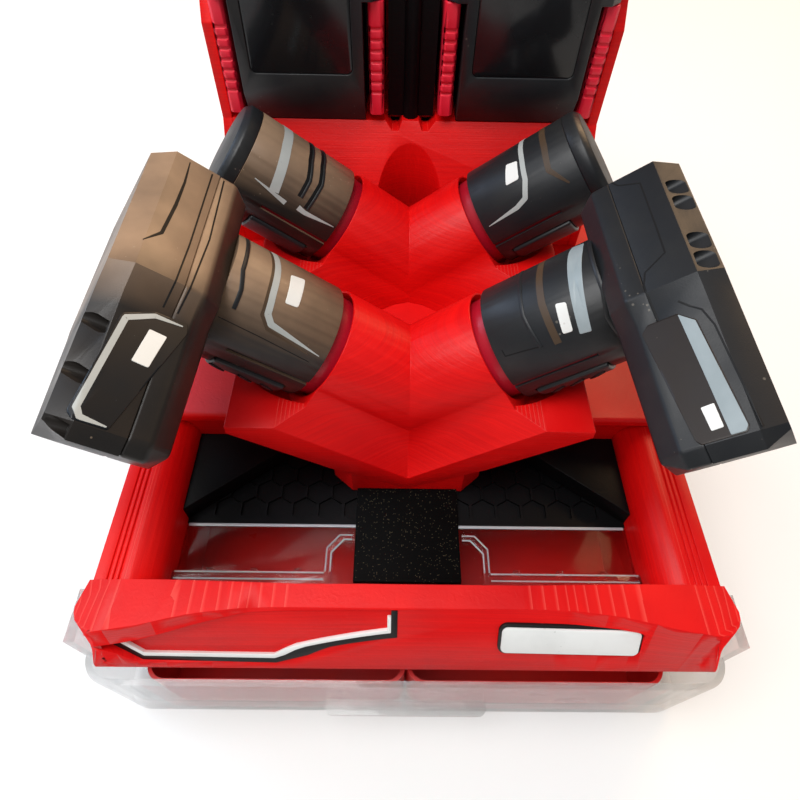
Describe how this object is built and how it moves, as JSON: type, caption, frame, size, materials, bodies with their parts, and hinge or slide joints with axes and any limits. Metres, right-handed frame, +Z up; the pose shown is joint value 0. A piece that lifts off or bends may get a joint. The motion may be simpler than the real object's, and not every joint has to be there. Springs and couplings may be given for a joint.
{
  "type": "tool battery storage drawer case",
  "caption": "Printed rack that holds round and slide-on tool batteries in slanted sockets and upright bays, over a clear parts drawer with bins.",
  "frame": {"origin": "middle of the case's underside, on the surface it stands on", "axes": "+Z up, +Y to the back, +X to the right as seen from the drawer's front"},
  "size_m": [0.264, 0.3674, 0.2767],
  "materials": {
    "red_print": "satin, fine layer lines",
    "bin_red": "gloss",
    "black_print": "satin, slightly glittery",
    "black_housing": "matt, moulded",
    "black_trim": "matt",
    "white_trim": "satin",
    "clear_sheet": "clear, glossy",
    "pack_black": "fine moulded grain, worn",
    "pack_red": "satin",
    "smoked_panel": "gloss, smoky"
  },
  "bodies": {
    "case": {"lower_housing": "black_housing", "runners": "black_housing", "deck": "red_print", "side_rail_left": "red_print", "side_rail_right": "red_print", "fascia": "red_print", "inlay_panel": "red_print", "inlay_border": "black_trim", "inlay_edge": "white_trim", "plaque_rim": "black_trim", "plaque": "white_trim", "honeycomb_floor": "black_print", "gussets": "black_print", "window_panel": "clear_sheet", "window_track": "clear_sheet", "centre_strip": "black_print", "front_dock": "red_print", "rear_dock": "red_print", "back_panel": "red_print", "bay_shell": "red_print", "bay_divider": "black_print", "slide_mounts": "black_print"},
    "drawer": {"drawer_tub": "clear_sheet", "bin_front_left": "bin_red", "bin_front_right": "bin_red", "bin_rear": "bin_red"},
    "front_left_pack": {"front_left_neck": "pack_red", "front_left_stem": "pack_black", "front_left_foot": "pack_black", "front_left_foot_cap": "pack_black"},
    "front_left_tab_front": {"front_left_tab_front": "pack_black"},
    "front_left_tab_rear": {"front_left_tab_rear": "pack_black"},
    "front_right_pack": {"front_right_neck": "pack_red", "front_right_stem": "pack_black", "front_right_foot": "pack_black", "front_right_foot_cap": "pack_black"},
    "front_right_tab_front": {"front_right_tab_front": "pack_black"},
    "front_right_tab_rear": {"front_right_tab_rear": "pack_black"},
    "rear_left_pack": {"rear_left_neck": "pack_red", "rear_left_stem": "pack_black", "rear_left_cap": "pack_black"},
    "rear_left_tab_front": {"rear_left_tab_front": "pack_black"},
    "rear_left_tab_rear": {"rear_left_tab_rear": "pack_black"},
    "rear_right_pack": {"rear_right_neck": "pack_red", "rear_right_stem": "pack_black", "rear_right_cap": "pack_black"},
    "rear_right_tab_front": {"rear_right_tab_front": "pack_black"},
    "rear_right_tab_rear": {"rear_right_tab_rear": "pack_black"},
    "slide_left_pack": {"slide_left_front_case": "pack_black", "slide_left_rear_case": "pack_black", "slide_left_window": "smoked_panel"},
    "slide_left_latch_outer": {"slide_left_latch_outer": "pack_red"},
    "slide_left_latch_inner": {"slide_left_latch_inner": "pack_red"},
    "slide_right_pack": {"slide_right_front_case": "pack_black", "slide_right_rear_case": "pack_black", "slide_right_window": "smoked_panel"},
    "slide_right_latch_outer": {"slide_right_latch_outer": "pack_red"},
    "slide_right_latch_inner": {"slide_right_latch_inner": "pack_red"}
  },
  "joints": [
    {"name": "drawer_slide", "type": "slide", "parent": "case", "child": "drawer", "axis": [0, -1, 0], "range_m": [0, 0.22]},
    {"name": "front_left_lift", "type": "slide", "parent": "case", "child": "front_left_pack", "axis": [-0.7986, 0, 0.6018], "range_m": [0, 0.06]},
    {"name": "front_left_tab_front_press", "type": "slide", "parent": "front_left_pack", "child": "front_left_tab_front", "axis": [0.3868, 0.766, 0.5134], "range_m": [0, 0.002], "stiffness_N_per_m": 1500},
    {"name": "front_left_tab_rear_press", "type": "slide", "parent": "front_left_pack", "child": "front_left_tab_rear", "axis": [0.3868, -0.766, 0.5134], "range_m": [0, 0.002], "stiffness_N_per_m": 1500},
    {"name": "front_right_lift", "type": "slide", "parent": "case", "child": "front_right_pack", "axis": [0.7986, 0, 0.6018], "range_m": [0, 0.06]},
    {"name": "front_right_tab_front_press", "type": "slide", "parent": "front_right_pack", "child": "front_right_tab_front", "axis": [-0.3868, 0.766, 0.5134], "range_m": [0, 0.002], "stiffness_N_per_m": 1500},
    {"name": "front_right_tab_rear_press", "type": "slide", "parent": "front_right_pack", "child": "front_right_tab_rear", "axis": [-0.3868, -0.766, 0.5134], "range_m": [0, 0.002], "stiffness_N_per_m": 1500},
    {"name": "rear_left_lift", "type": "slide", "parent": "case", "child": "rear_left_pack", "axis": [-0.7986, 0, 0.6018], "range_m": [0, 0.06]},
    {"name": "rear_left_tab_front_press", "type": "slide", "parent": "rear_left_pack", "child": "rear_left_tab_front", "axis": [0.3868, 0.766, 0.5134], "range_m": [0, 0.002], "stiffness_N_per_m": 1500},
    {"name": "rear_left_tab_rear_press", "type": "slide", "parent": "rear_left_pack", "child": "rear_left_tab_rear", "axis": [0.3868, -0.766, 0.5134], "range_m": [0, 0.002], "stiffness_N_per_m": 1500},
    {"name": "rear_right_lift", "type": "slide", "parent": "case", "child": "rear_right_pack", "axis": [0.7986, 0, 0.6018], "range_m": [0, 0.06]},
    {"name": "rear_right_tab_front_press", "type": "slide", "parent": "rear_right_pack", "child": "rear_right_tab_front", "axis": [-0.3868, 0.766, 0.5134], "range_m": [0, 0.002], "stiffness_N_per_m": 1500},
    {"name": "rear_right_tab_rear_press", "type": "slide", "parent": "rear_right_pack", "child": "rear_right_tab_rear", "axis": [-0.3868, -0.766, 0.5134], "range_m": [0, 0.002], "stiffness_N_per_m": 1500},
    {"name": "slide_left_lift", "type": "slide", "parent": "case", "child": "slide_left_pack", "axis": [0, 0, 1], "range_m": [0, 0.08]},
    {"name": "slide_left_latch_outer_press", "type": "slide", "parent": "slide_left_pack", "child": "slide_left_latch_outer", "axis": [1, 0, 0], "range_m": [0, 0.002], "stiffness_N_per_m": 2000},
    {"name": "slide_left_latch_inner_press", "type": "slide", "parent": "slide_left_pack", "child": "slide_left_latch_inner", "axis": [-1, 0, 0], "range_m": [0, 0.002], "stiffness_N_per_m": 2000},
    {"name": "slide_right_lift", "type": "slide", "parent": "case", "child": "slide_right_pack", "axis": [0, 0, 1], "range_m": [0, 0.08]},
    {"name": "slide_right_latch_outer_press", "type": "slide", "parent": "slide_right_pack", "child": "slide_right_latch_outer", "axis": [-1, 0, 0], "range_m": [0, 0.002], "stiffness_N_per_m": 2000},
    {"name": "slide_right_latch_inner_press", "type": "slide", "parent": "slide_right_pack", "child": "slide_right_latch_inner", "axis": [1, 0, 0], "range_m": [0, 0.002], "stiffness_N_per_m": 2000}
  ]
}
